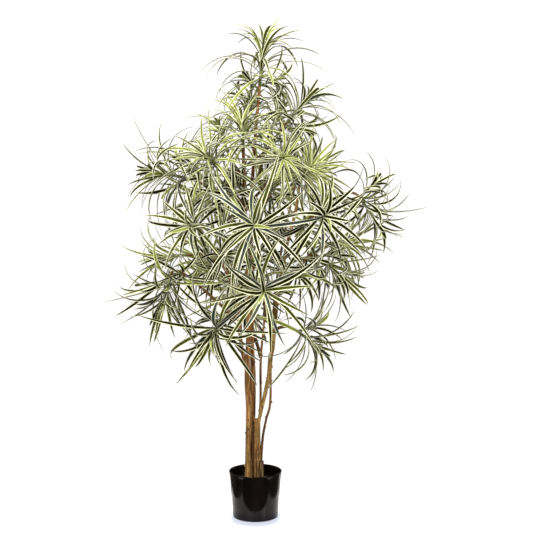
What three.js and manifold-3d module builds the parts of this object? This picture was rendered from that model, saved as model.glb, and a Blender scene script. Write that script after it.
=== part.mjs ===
// An artificial song of India tree, 1.2 m tall: natural wood stems cast into a small black
// plastic pot, slim boughs, and star-shaped heads of striped strap leaves on their ends.
// Millimetres, +Z up, origin at the middle of the pot's flat underside. The front faces -Y.

import * as THREE from 'three';
import { mergeVertices } from 'three/addons/utils/BufferGeometryUtils.js';
import Module from 'manifold-3d';

const wasm = await Module();
wasm.setup();

// Space left between neighbouring pieces.
const GAP = 0.3;

// The pot: a tapered cup with a rolled lip, filled almost to the top.
const POT_HEIGHT = 114;
const POT_FOOT_RADIUS = 54.5;
const POT_SHOULDER_RADIUS = 61.6;
const POT_LIP_RADIUS = 64;
const POT_LIP_DEPTH = 6;
const POT_WALL = 2.2;
const POT_EDGE_ROUND = 4;
const POT_FACETS = 28;
const FILL_TOP = 88;
const STEM_FOOT = 24;

// The stems. Each waypoint is x, y, z and the radius there.
const STEM_STEPS = 2;
const STEMS = {
  stem_main: {
    sides: 7,
    colour: 'bark_ochre',
    route: [
      [-19.4, -25, STEM_FOOT, 8.2], [-18.4, -25, 118, 6.9], [-17.5, -25, 184, 6.0], [-15.6, -25, 277, 7.2],
      [-18.6, -25, 352, 6.6], [-16, -25, 474, 5.2], [-15, -25, 582, 5.2], [-22, -28, 704, 4.8],
      [-25.6, -34, 820, 4.4], [-27, -42, 894, 3.8],
    ],
  },
  stem_back: {
    sides: 7,
    colour: 'bark_dark',
    route: [
      [-8, 9, STEM_FOOT, 7.4], [-7.4, 10, 132, 6.0], [-4.4, 8, 334, 5.6],
      [-8, -2, 444, 4.8], [-6, 4, 580, 4.6],
      [-10, 14, 702, 4.4], [-5, 24, 841, 4.1], [3, 18, 952, 3.7], [11, 11, 1042, 3.2],
    ],
  },
  stem_centre: {
    sides: 7,
    colour: 'bark_ochre',
    route: [[4, -10, STEM_FOOT, 10], [4.4, -10, 115, 8.2], [4.6, -10, 190, 7.7], [4.8, -10, 244, 7.4]],
  },
  stem_right: {
    sides: 7,
    colour: 'bark_ochre',
    from: 'stem_centre',
    route: [
      [5, -12, 226, 4.4], [12, -14, 256, 4.2], [25.7, -18, 317, 4.8],
      [33.2, -20, 354, 5.3], [36.8, -20, 398, 5.9],
      [42.4, -20, 428, 5.3], [51, -15, 523, 4.7], [62, -5, 594, 4.5], [78, 5, 674, 4.2], [97, 10, 748, 3.9],
      [105.5, 18, 815, 3.4],
    ],
  },
  stem_slim: {
    sides: 6,
    colour: 'bark_dark',
    from: 'stem_centre',
    route: [
      [8, -6, 229, 3.1], [12.6, 1, 288, 3.0], [13.2, 4, 390, 2.9], [21, 10, 474, 2.6], [28, 14, 574, 2.3],
    ],
  },
  stem_outer: {
    sides: 6,
    colour: 'bark_red',
    route: [
      [9, 25, STEM_FOOT, 4.4], [16, 25, 170, 3.2], [25.8, 25, 233, 2.9],
      [36, 25, 276, 3.0], [37.8, 25, 380, 2.7],
      [44, 35, 502, 3.0], [56, 60, 601, 3.1], [72, 82, 690, 3.0], [90, 98, 770, 2.8], [106, 104, 832, 2.6],
    ],
  },
  stem_left: {
    sides: 6,
    colour: 'bark_red',
    from: 'stem_main',
    route: [
      [-19, -26, 357, 4.2], [-34, -31, 436, 4.2], [-38, -38, 502, 3.9],
      [-58, -46, 586, 3.6], [-98, -58, 664, 3.3],
      [-132, -70, 716, 3.0],
    ],
  },
  stump: {
    sides: 7,
    colour: 'bark_dark',
    route: [[15.4, -31, STEM_FOOT, 7.2], [15, -31, 90, 6.2], [14.7, -31, 146, 5.7]],
  },
};

// The boughs are slim tapering limbs that leave their stem rising and end on their head's axis.
const BOUGH_ROOT_RADIUS = 4.0;
const BOUGH_TIP_RADIUS = 2.9;
const BOUGH_STEPS = 4;
const BOUGH_SIDES = 5;

// The heads of leaves. stem and fork give the stem and the height at which the bough leaves it; a
// head with no fork sits on its stem's tip. at is where the bough ends, bearing and lift are the
// head's axis in degrees (bearing 0 is +X, 270 is the front), long is the axis's length, and size
// is the length of its leaves as a share of the usual.
const HEADS = [
  { name: 'centre_front', stem: 'stem_main', fork: 636, at: [-1, -140, 722],
    bearing: 270, lift: 10, long: 60, leaves: 26, size: 1.08 },
  { name: 'low_centre', stem: 'stem_slim', fork: 492, at: [19, -176, 592],
    bearing: 272, lift: -4, long: 54, leaves: 25, size: 1 },
  { name: 'right_front', stem: 'stem_right', fork: 640, at: [139, -112, 749],
    bearing: 290, lift: 2, long: 56, leaves: 25, size: 0.92 },
  { name: 'low_left', stem: 'stem_left', fork: 412, at: [-80, -98, 496],
    bearing: 256, lift: -14, long: 56, leaves: 25, size: 1.04 },
  { name: 'left_low', stem: 'stem_left', fork: 490, at: [-197, -100, 604],
    bearing: 258, lift: -48, long: 64, leaves: 25, size: 0.92 },
  { name: 'low_right', stem: 'stem_right', fork: 462, at: [100, -60, 468],
    bearing: 328, lift: -30, long: 58, leaves: 21, size: 0.86 },
  { name: 'top', stem: 'stem_back',
    bearing: 0, lift: 85, long: 93.5, leaves: 28, size: 0.935 },
  { name: 'top_right', stem: 'stem_back', fork: 862, at: [76, 20, 956],
    bearing: 2, lift: 50, long: 66, leaves: 25, size: 0.94 },
  { name: 'far_left', stem: 'stem_main', fork: 735, at: [-160, -20, 826],
    bearing: 192, lift: 12, long: 70, leaves: 26, size: 0.96 },
  { name: 'far_right', stem: 'stem_right', fork: 690, at: [250, 14, 776],
    bearing: 342, lift: -54, long: 84, leaves: 28, size: 0.74 },
  { name: 'left_front', stem: 'stem_main', fork: 765, at: [-81, -56, 847],
    bearing: 232, lift: 36, long: 54, leaves: 22, size: 0.88 },
  { name: 'right_low', stem: 'stem_right', fork: 545, at: [150, -10, 640],
    bearing: 338, lift: -38, long: 60, leaves: 22, size: 1.12 },
  { name: 'left', stem: 'stem_left',
    bearing: 248, lift: 8, long: 42, leaves: 20, size: 0.74 },
  { name: 'trunk_tip', stem: 'stem_main',
    bearing: 265, lift: 66, long: 55, leaves: 21, size: 0.86 },
  { name: 'centre_high', stem: 'stem_back', fork: 770, at: [60, -44, 863],
    bearing: 278, lift: 18, long: 50, leaves: 20, size: 0.68 },
  { name: 'right_high', stem: 'stem_right',
    bearing: 300, lift: 38, long: 50, leaves: 20, size: 0.76 },
  { name: 'upper', stem: 'stem_back', fork: 890, at: [-22, 62, 944],
    bearing: 60, lift: 70, long: 58, leaves: 18, size: 0.7 },
  { name: 'upper_left', stem: 'stem_main', fork: 828, at: [-62, 12, 880],
    bearing: 190, lift: 70, long: 60, leaves: 18, size: 0.66 },
  { name: 'left_back', stem: 'stem_back', fork: 560, at: [-164, 52, 635],
    bearing: 172, lift: -5, long: 58, leaves: 21, size: 0.84 },
  { name: 'left_low_back', stem: 'stem_back', fork: 496, at: [-91, 96, 618],
    bearing: 128, lift: -6, long: 52, leaves: 22, size: 0.88 },
  { name: 'back_high', stem: 'stem_back', fork: 800, at: [34, 82, 926],
    bearing: 60, lift: 50, long: 50, leaves: 20, size: 0.84 },
  { name: 'right_high_back', stem: 'stem_outer',
    bearing: 50, lift: -4, long: 52, leaves: 22, size: 0.76 },
  { name: 'back_left', stem: 'stem_back', fork: 665, at: [-103, 150, 750],
    bearing: 125, lift: 12, long: 55, leaves: 22, size: 0.86 },
  { name: 'back_right', stem: 'stem_outer', fork: 560, at: [179, 108, 650],
    bearing: 40, lift: 4, long: 55, leaves: 22, size: 0.86 },
  { name: 'back_centre', stem: 'stem_back', fork: 705, at: [36, 184, 771],
    bearing: 88, lift: 18, long: 55, leaves: 22, size: 0.86 },
  { name: 'back_low', stem: 'stem_slim', fork: 394, at: [-36, 142, 531],
    bearing: 100, lift: -6, long: 55, leaves: 21, size: 0.86 },
];
const AXIS_ROOT_RADIUS = 4.4;
const AXIS_TIP_RADIUS = 2.6;
const AXIS_SIDES = 4;

// The leaves: folded straps that stand round the axis in a spiral, the oldest at its root.
const LEAF_LENGTH = 188;
const LEAF_WIDTH = 10.6;
const LEAF_NECK = 0.4;
const LEAF_RISE = 0.8;
const LEAF_KEEL = 1.5;
const LEAF_STEPS = 12;
const LEAF_SECTIONS = [2, 7];
const LEAF_SPIRAL = 137.508;
const LEAF_OPEN = 78;
const LEAF_CLOSED = 12;
const LEAF_HANG = 45;
const LEAF_CURL = 72;
const LEAF_DROOP = 0.35;
const LEAF_SWAY = 0.9;
const FIRST_LEAF = 9;
const LAST_LEAF = 3;

// A leaf stands clear of every limb and of the other heads' leaves. One that would not is turned
// about its axis by growing angles, and is left out when none of them is free.
const LEAF_CLEARANCE = 0.5;
const LEAF_TURNS = [0, 6, -6, 12, -12, 18, -18, 26, -26, 34, -34];

const COLOURS = {
  pot_plastic: { color: 0x0c0c0d, roughness: 0.22 },
  cast_fill: { color: 0x2b2724, roughness: 0.95 },
  bark_ochre: { color: 0xa5733c, roughness: 0.8 },
  bark_dark: { color: 0x6b4523, roughness: 0.85 },
  bark_red: { color: 0x8c5428, roughness: 0.8 },
  leaf_green: { color: 0x4d5f34, roughness: 0.55 },
};

const radians = THREE.MathUtils.degToRad;
const UP = new THREE.Vector3(0, 0, 1);
const SIDEWAYS = new THREE.Vector3(1, 0, 0);

// The same row of numbers from 0 to 1 for the same seed.
function draws(seed) {
  let state = seed;
  return () => {
    state = (state * 16807) % 2147483647;
    return state / 2147483647;
  };
}

// A direction from its bearing in plan and its lift above level, in degrees.
function heading(bearing, lift) {
  const level = Math.cos(radians(lift));
  return new THREE.Vector3(
    level * Math.cos(radians(bearing)),
    level * Math.sin(radians(bearing)),
    Math.sin(radians(lift)),
  );
}

// Two directions that make a right-handed frame with the given one.
function across(direction) {
  const helper = Math.abs(direction.z) > 0.9 ? SIDEWAYS : UP;
  const first = new THREE.Vector3().crossVectors(direction, helper).normalize();
  const second = new THREE.Vector3().crossVectors(direction, first);
  return [first, second];
}

// A mesh geometry from a list of points and a list of corner triples.
function geometryOf(points, faces) {
  const geometry = new THREE.BufferGeometry();
  const coordinates = points.flatMap((p) => [p.x, p.y, p.z]);
  geometry.setAttribute('position', new THREE.Float32BufferAttribute(coordinates, 3));
  geometry.setIndex(faces.flat());
  return geometry;
}

// Joins rings of equal count into one closed skin. A ring of one point closes it to a tip.
function skin(rings) {
  const faces = [];
  let start = 0;
  for (let i = 0; i + 1 < rings.length; i += 1) {
    const a = rings[i].length;
    const b = rings[i + 1].length;
    const next = start + a;
    for (let k = 0; k < Math.max(a, b); k += 1) {
      const a0 = start + (k % a);
      const a1 = start + ((k + 1) % a);
      const b0 = next + (k % b);
      const b1 = next + ((k + 1) % b);
      if (a > 1) faces.push([a0, a1, b1]);
      if (b > 1) faces.push([a0, b1, b0]);
    }
    start = next;
  }
  for (let k = 1; k + 1 < rings[0].length; k += 1) faces.push([0, k + 1, k]);
  for (let k = 1; k + 1 < rings.at(-1).length; k += 1) faces.push([start, start + k, start + k + 1]);
  return geometryOf(rings.flat(), faces);
}

// A round tapering limb through stations that each hold a point and a radius. One with a facing
// has its ring square to that direction and not to the limb.
function limb(stations, sides, extra = 0) {
  const last = stations.length - 1;
  let [u] = across(stations[1].point.clone().sub(stations[0].point).normalize());
  const rings = stations.map(({ point, radius, facing }, i) => {
    const ahead = stations[Math.min(i + 1, last)].point;
    const behind = stations[Math.max(i - 1, 0)].point;
    const along = facing ?? ahead.clone().sub(behind).normalize();
    u = u.clone().addScaledVector(along, -u.dot(along)).normalize();
    const v = new THREE.Vector3().crossVectors(along, u);
    return Array.from({ length: sides }, (_, k) => {
      const turn = (2 * Math.PI * k) / sides;
      return point
        .clone()
        .addScaledVector(u, (radius + extra) * Math.cos(turn))
        .addScaledVector(v, (radius + extra) * Math.sin(turn));
    });
  });
  return skin(rings);
}

function solidOf(geometry) {
  const bare = geometry.clone();
  bare.deleteAttribute('normal');
  bare.deleteAttribute('uv');
  const merged = mergeVertices(bare);
  return new wasm.Manifold(
    new wasm.Mesh({
      numProp: 3,
      vertProperties: new Float32Array(merged.attributes.position.array),
      triVerts: new Uint32Array(merged.index.array),
    }),
  );
}

function geometryFrom(solid) {
  const { vertProperties, triVerts } = solid.getMesh();
  const geometry = new THREE.BufferGeometry();
  geometry.setAttribute('position', new THREE.BufferAttribute(new Float32Array(vertProperties), 3));
  geometry.setIndex(Array.from(triVerts));
  return geometry;
}

// A smooth route through a stem's waypoints, as stations of a point and a radius.
function stemStations(route) {
  const at = (i) => route[THREE.MathUtils.clamp(i, 0, route.length - 1)];
  const stations = [];
  for (let i = 0; i + 1 < route.length; i += 1) {
    for (let step = 0; step < STEM_STEPS; step += 1) {
      const t = step / STEM_STEPS;
      const mix = [0, 1, 2, 3].map((k) => {
        const [p, q, r, s] = [at(i - 1)[k], at(i)[k], at(i + 1)[k], at(i + 2)[k]];
        return q + (t / 2) * (r - p + t * (2 * p - 5 * q + 4 * r - s + t * (3 * q - p - 3 * r + s)));
      });
      stations.push({ point: new THREE.Vector3(mix[0], mix[1], mix[2]), radius: mix[3] });
    }
  }
  const [x, y, z, radius] = route.at(-1);
  stations.push({ point: new THREE.Vector3(x, y, z), radius });
  return stations;
}

// The point of a stem's middle line at a height, with the line's direction and radius there.
function forkAt(stations, height) {
  const i = stations.findIndex(({ point }) => point.z > height);
  const low = stations[i - 1].point;
  const high = stations[i].point;
  const point = low.clone().lerp(high, (height - low.z) / (high.z - low.z));
  return { point, along: high.clone().sub(low).normalize(), radius: stations[i].radius };
}

// A bough's stations: it leaves its stem rising outwards and ends along its head's axis.
function boughStations(head, fork) {
  const end = new THREE.Vector3(...head.at);
  const reach = end.distanceTo(fork.point);
  const out = end.clone().sub(fork.point);
  out.z = 0;
  out.normalize();
  const leave = out.multiplyScalar(0.8).addScaledVector(fork.along, 0.6).normalize();
  const start = fork.point.clone().addScaledVector(leave, 0.5 * fork.radius);
  const first = start.clone().addScaledVector(leave, 0.36 * reach);
  const second = end.clone().addScaledVector(head.axis, -0.3 * reach);
  const curve = new THREE.CubicBezierCurve3(start, first, second, end);
  const line = Array.from({ length: BOUGH_STEPS + 1 }, (_, i) => {
    const t = i / BOUGH_STEPS;
    return { point: curve.getPoint(t), radius: THREE.MathUtils.lerp(BOUGH_ROOT_RADIUS, BOUGH_TIP_RADIUS, t) };
  });
  line.at(-1).facing = head.axis;
  return line;
}

// A box round a straight stretch, with its half sizes along, across and through.
function boxRound(from, to, side, halfWidth, halfDepth) {
  const along = to.clone().sub(from);
  const half = along.length() / 2;
  along.normalize();
  const flat = side.clone().addScaledVector(along, -side.dot(along)).normalize();
  const middle = from.clone().add(to).multiplyScalar(0.5);
  const through = new THREE.Vector3().crossVectors(along, flat);
  return {
    middle,
    axes: [along, flat, through],
    halves: [half, halfWidth, halfDepth],
    ball: half + halfWidth + halfDepth,
  };
}

function boxesAlong(stations) {
  return stations.slice(1).map((station, i) => {
    const from = stations[i].point;
    const radius = Math.max(stations[i].radius, station.radius);
    const [side] = across(station.point.clone().sub(from).normalize());
    return boxRound(from, station.point, side, radius, radius);
  });
}

// Whether two boxes lie apart: some direction shows the clearance between their shadows.
function apart(a, b) {
  const between = b.middle.clone().sub(a.middle);
  const far = a.ball + b.ball + LEAF_CLEARANCE;
  if (between.lengthSq() > far * far) return true;
  const crosses = a.axes.flatMap((p) => b.axes.map((q) => new THREE.Vector3().crossVectors(p, q)));
  const shadow = (box, on) => box.axes.reduce((sum, p, k) => sum + box.halves[k] * Math.abs(p.dot(on)), 0);
  return [...a.axes, ...b.axes, ...crosses].some((axis) => {
    const size = axis.length();
    if (size < 0.05) return false;
    return Math.abs(between.dot(axis)) > shadow(a, axis) + shadow(b, axis) + LEAF_CLEARANCE * size;
  });
}

// One leaf: its middle line, and the directions across and through it at every step. It leaves
// the axis forwards, arches back over it, sways to one side and droops, the oldest leaves most.
function leafLine(head, share, bearing, draw) {
  const [first, second] = across(head.axis);
  const out = first.multiplyScalar(Math.cos(bearing)).addScaledVector(second, Math.sin(bearing));
  const side = new THREE.Vector3().crossVectors(head.axis, out);
  const rest = LEAF_OPEN + (LEAF_CLOSED - LEAF_OPEN) * share ** 0.85 + LEAF_HANG * Math.max(0, 1 - 7 * share);
  const lean = radians(rest + 28 * (draw.lean - 0.5));
  const curl = radians(LEAF_CURL * (0.35 + 1.3 * draw.curl));
  const twist = radians(80 * (draw.twist - 0.5));
  const sway = LEAF_SWAY * (draw.sway - 0.5);
  const droop = LEAF_DROOP * 2 * (1 - share);
  const usual = LEAF_LENGTH * head.size * (0.86 + 0.75 * share - 1.2 * share * share);
  const length = usual * (0.8 + 0.34 * draw.length);
  const up = FIRST_LEAF + (head.long - FIRST_LEAF - LAST_LEAF) * share;
  const point = head.root.clone().addScaledVector(head.axis, up);
  const steps = [];
  for (let k = 0; k <= LEAF_STEPS; k += 1) {
    const t = k / LEAF_STEPS;
    const angle = lean + curl * t ** 1.2;
    const along = head.axis
      .clone()
      .multiplyScalar(Math.cos(angle))
      .addScaledVector(out, Math.sin(angle))
      .addScaledVector(side, 2 * sway * t)
      .addScaledVector(UP, -droop * t)
      .normalize();
    const level = side.clone().addScaledVector(along, -side.dot(along)).normalize();
    const through = new THREE.Vector3().crossVectors(along, level);
    const flat = level.multiplyScalar(Math.cos(twist * t)).addScaledVector(through, Math.sin(twist * t));
    steps.push({ place: point.clone(), flat, through: new THREE.Vector3().crossVectors(along, flat) });
    point.addScaledVector(along, length / LEAF_STEPS);
  }
  return steps;
}

// The boxes that stand for a leaf when it is tested: neck, body, taper and point.
function leafBoxes(steps) {
  const [neck, belly] = LEAF_SECTIONS;
  const tip = steps[LEAF_STEPS].place;
  const middle = steps[belly].place.clone().lerp(tip, 0.5);
  const depth = (LEAF_RISE + LEAF_KEEL) / 2 + 0.5;
  return [
    boxRound(steps[0].place, steps[neck].place, steps[0].flat, (LEAF_NECK * LEAF_WIDTH) / 2, depth),
    boxRound(steps[neck].place, steps[belly].place, steps[belly].flat, LEAF_WIDTH / 2, depth),
    boxRound(steps[belly].place, middle, steps[belly].flat, LEAF_WIDTH / 2, depth),
    boxRound(middle, tip, steps[belly].flat, LEAF_WIDTH / 4, depth),
  ];
}

// A folded strap: pointed at root and tip, with a three-cornered section at neck and belly.
function leafGeometry(steps) {
  const section = ({ place, flat, through }, width) => [
    place.clone().addScaledVector(flat, width / 2).addScaledVector(through, LEAF_RISE),
    place.clone().addScaledVector(flat, -width / 2).addScaledVector(through, LEAF_RISE),
    place.clone().addScaledVector(through, -LEAF_KEEL),
  ];
  const [neck, belly] = LEAF_SECTIONS;
  return skin([
    [steps[0].place],
    section(steps[neck], LEAF_NECK * LEAF_WIDTH),
    section(steps[belly], LEAF_WIDTH),
    [steps[LEAF_STEPS].place],
  ]);
}

const plant = new THREE.Group();

function addPiece(name, geometry, slot) {
  const material = new THREE.MeshStandardMaterial({ ...COLOURS[slot], metalness: 0 });
  material.name = slot;
  geometry.computeVertexNormals();
  const mesh = new THREE.Mesh(geometry, material);
  mesh.name = name;
  plant.add(mesh);
}

// Pot: one turned profile, up the outside, over the lip and down the inside.
const shoulderHeight = POT_HEIGHT - POT_LIP_DEPTH;
const innerShoulder = POT_SHOULDER_RADIUS - POT_WALL;
const innerFoot = POT_FOOT_RADIUS - POT_WALL;
const potProfile = [
  [0, 0],
  [POT_FOOT_RADIUS - POT_EDGE_ROUND, 0],
  [POT_FOOT_RADIUS - POT_EDGE_ROUND * 0.3, POT_EDGE_ROUND * 0.3],
  [POT_FOOT_RADIUS, POT_EDGE_ROUND],
  [POT_SHOULDER_RADIUS, shoulderHeight],
  [POT_LIP_RADIUS - 0.5, shoulderHeight + 0.8],
  [POT_LIP_RADIUS, POT_HEIGHT - 2],
  [POT_LIP_RADIUS - 1, POT_HEIGHT],
  [POT_LIP_RADIUS - POT_WALL, POT_HEIGHT],
  [innerShoulder, shoulderHeight],
  [innerFoot, POT_EDGE_ROUND],
  [innerFoot - 2, POT_WALL],
  [0, POT_WALL],
];
const lathe = (profile) =>
  new THREE.LatheGeometry(profile.map(([x, z]) => new THREE.Vector2(x, z)), POT_FACETS).rotateX(Math.PI / 2);
addPiece('pot', lathe(potProfile), 'pot_plastic');

// Stems, smooth through their waypoints. One that grows from another is coped to its bark, and
// one that carries a head on its tip is cut off square to the head's axis.
const stations = {};
const sunk = [];
for (const head of HEADS) head.axis = heading(head.bearing, head.lift);
for (const [name, stem] of Object.entries(STEMS)) {
  stations[name] = stemStations(stem.route);
  stations[name].at(-1).facing = HEADS.find((head) => head.stem === name && !head.fork)?.axis;
  const geometry = limb(stations[name], stem.sides);
  if (stem.from) {
    const parent = solidOf(limb(stations[stem.from], STEMS[stem.from].sides, GAP));
    addPiece(name, geometryFrom(solidOf(geometry).subtract(parent)), stem.colour);
  } else {
    addPiece(name, geometry, stem.colour);
    sunk.push(name);
  }
}

// Fill: cast in the pot round the feet of the stems, which stand in blind sockets.
const wallSlope = (innerShoulder - innerFoot) / (shoulderHeight - POT_EDGE_ROUND);
const fillWidth = (z) => innerFoot + wallSlope * (z - POT_EDGE_ROUND);
const fillProfile = [
  [0, POT_WALL + GAP],
  [innerFoot - 2.4, POT_WALL + GAP],
  [fillWidth(POT_EDGE_ROUND) - GAP, POT_EDGE_ROUND + GAP],
  [fillWidth(FILL_TOP) - GAP, FILL_TOP],
  [0, FILL_TOP],
];
let fill = solidOf(lathe(fillProfile));
for (const name of sunk) {
  const socket = stations[name].slice(0, 3).map(({ point, radius }) => ({ point: point.clone(), radius }));
  socket[0].point.z -= GAP;
  fill = fill.subtract(solidOf(limb(socket, STEMS[name].sides, GAP)));
}
addPiece('fill', geometryFrom(fill), 'cast_fill');

// Boughs, and the axes that the heads' leaves stand on.
const limbBoxes = [];
const keepSpace = (line, owner) => limbBoxes.push(...boxesAlong(line).map((box) => ({ ...box, owner })));
for (const [name, line] of Object.entries(stations)) keepSpace(line, name);
for (const head of HEADS) {
  const stem = STEMS[head.stem];
  head.carrier = head.stem;
  let end = stations[head.stem].at(-1).point;
  if (head.fork) {
    const line = boughStations(head, forkAt(stations[head.stem], head.fork));
    const parent = solidOf(limb(stations[head.stem], stem.sides, GAP));
    head.carrier = `bough_${head.name}`;
    addPiece(head.carrier, geometryFrom(solidOf(limb(line, BOUGH_SIDES)).subtract(parent)), stem.colour);
    keepSpace(line, head.carrier);
    end = line.at(-1).point;
  }
  head.root = end.clone().addScaledVector(head.axis, GAP);
  const top = head.root.clone().addScaledVector(head.axis, head.long);
  head.line = [{ point: head.root, radius: AXIS_ROOT_RADIUS }, { point: top, radius: AXIS_TIP_RADIUS }];
  keepSpace(head.line, head.name);
}

// Heads of leaves, each fused to its axis. Earlier heads keep the space that they fill.
const leafBoxesSoFar = [];
HEADS.forEach((head, number) => {
  const draw = draws(1000 + 37 * number);
  const own = [];
  let mass = solidOf(limb(head.line, AXIS_SIDES));
  for (let i = 0; i < head.leaves; i += 1) {
    const share = i / (head.leaves - 1);
    const luck = { lean: draw(), curl: draw(), twist: draw(), length: draw(), sway: draw() };
    const bearing = radians(LEAF_SPIRAL * i + 40 * number + 30 * (draw() - 0.5));
    for (const turn of LEAF_TURNS) {
      const steps = leafLine(head, share, bearing + radians(turn), luck);
      const boxes = leafBoxes(steps);
      const clearOfLimb = (box, k, other) =>
        other.owner === head.name || (k === 0 && other.owner === head.carrier) || apart(box, other);
      const clearOfLimbs = boxes.every((box, k) => limbBoxes.every((other) => clearOfLimb(box, k, other)));
      if (clearOfLimbs && boxes.every((box) => leafBoxesSoFar.every((other) => apart(box, other)))) {
        mass = mass.add(solidOf(leafGeometry(steps)));
        own.push(...boxes);
        break;
      }
    }
  }
  leafBoxesSoFar.push(...own);
  addPiece(`leaves_${head.name}`, geometryFrom(mass), 'leaf_green');
});

export default plant;
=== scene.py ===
import math
from collections import namedtuple

import bmesh
import bpy
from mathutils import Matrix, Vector, noise
from mathutils.bvhtree import BVHTree


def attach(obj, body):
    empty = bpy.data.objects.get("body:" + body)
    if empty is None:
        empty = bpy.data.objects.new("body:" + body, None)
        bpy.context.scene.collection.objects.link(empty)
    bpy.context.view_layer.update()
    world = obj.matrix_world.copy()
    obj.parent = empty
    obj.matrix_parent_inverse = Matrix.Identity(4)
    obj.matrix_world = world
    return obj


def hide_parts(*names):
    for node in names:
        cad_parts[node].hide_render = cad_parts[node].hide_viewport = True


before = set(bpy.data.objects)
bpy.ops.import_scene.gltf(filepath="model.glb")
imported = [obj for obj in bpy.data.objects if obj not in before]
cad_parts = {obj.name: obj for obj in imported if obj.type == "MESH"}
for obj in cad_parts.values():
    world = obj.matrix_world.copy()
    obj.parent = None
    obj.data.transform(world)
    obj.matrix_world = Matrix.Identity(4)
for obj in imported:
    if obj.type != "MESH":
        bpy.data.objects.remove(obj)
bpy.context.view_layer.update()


# POT. A glossy black nursery pot, moulded in one thin wall. The wall opens faster near the top
# and ends in a small rolled lip, and the underside stands on a flat ring. Its profile is pairs of
# radius and height in metres.
POT_OUTSIDE = [
    (0.0, 0.0012), (0.0440, 0.0012), (0.0452, 0.0), (0.0516, 0.0), (0.0536, 0.0006), (0.0546, 0.0020),
    (0.0552, 0.0042), (0.0560, 0.0160), (0.0567, 0.0300), (0.0575, 0.0450), (0.0583, 0.0600),
    (0.0593, 0.0760), (0.0604, 0.0900), (0.0613, 0.0990), (0.0620, 0.1045), (0.0628, 0.1084),
]
POT_LIP = [
    (0.0634, 0.1106), (0.0639, 0.1122), (0.0639, 0.1132), (0.0635, 0.1139), (0.0629, 0.1140),
    (0.0622, 0.1136), (0.0617, 0.1126),
]
POT_INSIDE = [
    (0.0608, 0.1080), (0.0601, 0.1010), (0.0589, 0.0890), (0.0575, 0.0740), (0.0560, 0.0560),
    (0.0550, 0.0380), (0.0541, 0.0180), (0.0535, 0.0060), (0.0515, 0.0030), (0.0, 0.0026),
]
POT_STEPS = 128
# Vertices of a turned shape that are closer together than this, in metres, are merged.
WELD = 1e-6
# How fine the scuffs in the gloss are along x, y and z.
SCUFFS = (60, 60, 9)
POT_BLACKS = [(0.3, (0.0022, 0.0016, 0.0013)), (0.75, (0.0060, 0.0044, 0.0034))]


def turned(profile, steps):
    """A shape of revolution round the upright axis, spun from a line of radius and height."""
    bm = bmesh.new()
    line = [bm.verts.new((radius, 0, height)) for radius, height in profile]
    edges = [bm.edges.new(pair) for pair in zip(line, line[1:])]
    bmesh.ops.spin(
        bm, geom=line + edges, cent=(0, 0, 0), axis=(0, 0, 1), dvec=(0, 0, 0),
        angle=2 * math.pi, steps=steps, use_merge=True, use_duplicate=False,
    )
    bmesh.ops.remove_doubles(bm, verts=bm.verts, dist=WELD)
    bmesh.ops.recalc_face_normals(bm, faces=bm.faces)
    return bm


def piece(name, bm, finish, replaced):
    """Makes the finished object of a mesh and hands it to the frame."""
    mesh = bpy.data.meshes.new(name)
    bm.to_mesh(mesh)
    bm.free()
    mesh.polygons.foreach_set("use_smooth", [True] * len(mesh.polygons))
    mesh.materials.append(finish)
    made = bpy.data.objects.new(name, mesh)
    bpy.context.scene.collection.objects.link(made)
    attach(made, "root")
    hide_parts(*replaced)


def new_finish(name, roughness, specular):
    """A material, its node tree and shader, and a place reading in the piece's own metres."""
    finish = bpy.data.materials.new(name)
    finish.use_nodes = True
    tree = finish.node_tree
    shader = tree.nodes["Principled BSDF"]
    shader.inputs["Roughness"].default_value = roughness
    shader.inputs["Specular IOR Level"].default_value = specular
    place = tree.nodes.new("ShaderNodeTexCoord").outputs["Object"]
    return finish, tree, shader, place


def stretched(tree, place, scale):
    """A place reading with its own scale along each axis."""
    mapping = tree.nodes.new("ShaderNodeMapping")
    mapping.inputs["Scale"].default_value = scale
    tree.links.new(place, mapping.inputs["Vector"])
    return mapping.outputs["Vector"]


def grain(tree, place, scale=1.0, detail=3.0, rough=0.5):
    """Soft noise over a place, as a value from 0 to 1."""
    texture = tree.nodes.new("ShaderNodeTexNoise")
    texture.inputs["Scale"].default_value = scale
    texture.inputs["Detail"].default_value = detail
    texture.inputs["Roughness"].default_value = rough
    tree.links.new(place, texture.inputs["Vector"])
    return texture.outputs["Fac"]


def ramp(tree, value, stops):
    """Plain colours laid along a value, each at its own stop."""
    node = tree.nodes.new("ShaderNodeValToRGB")
    while len(node.color_ramp.elements) < len(stops):
        node.color_ramp.elements.new(0.5)
    for element, (at, colour) in zip(node.color_ramp.elements, stops):
        element.position = at
        element.color = (*colour, 1)
    tree.links.new(value, node.inputs["Fac"])
    return node.outputs["Color"]


def spread(tree, value, low=0.0, high=1.0, start=0.0, end=1.0):
    """A value between start and end, laid out anew between low and high."""
    node = tree.nodes.new("ShaderNodeMapRange")
    node.inputs["From Min"].default_value = start
    node.inputs["From Max"].default_value = end
    node.inputs["To Min"].default_value = low
    node.inputs["To Max"].default_value = high
    tree.links.new(value, node.inputs["Value"])
    return node.outputs["Result"]


def relief(tree, shader, height, strength, distance):
    """Fine bumps in the shader's surface, where a height pattern rises and falls."""
    bump = tree.nodes.new("ShaderNodeBump")
    bump.inputs["Strength"].default_value = strength
    bump.inputs["Distance"].default_value = distance
    tree.links.new(height, bump.inputs["Height"])
    tree.links.new(bump.outputs["Normal"], shader.inputs["Normal"])


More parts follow.
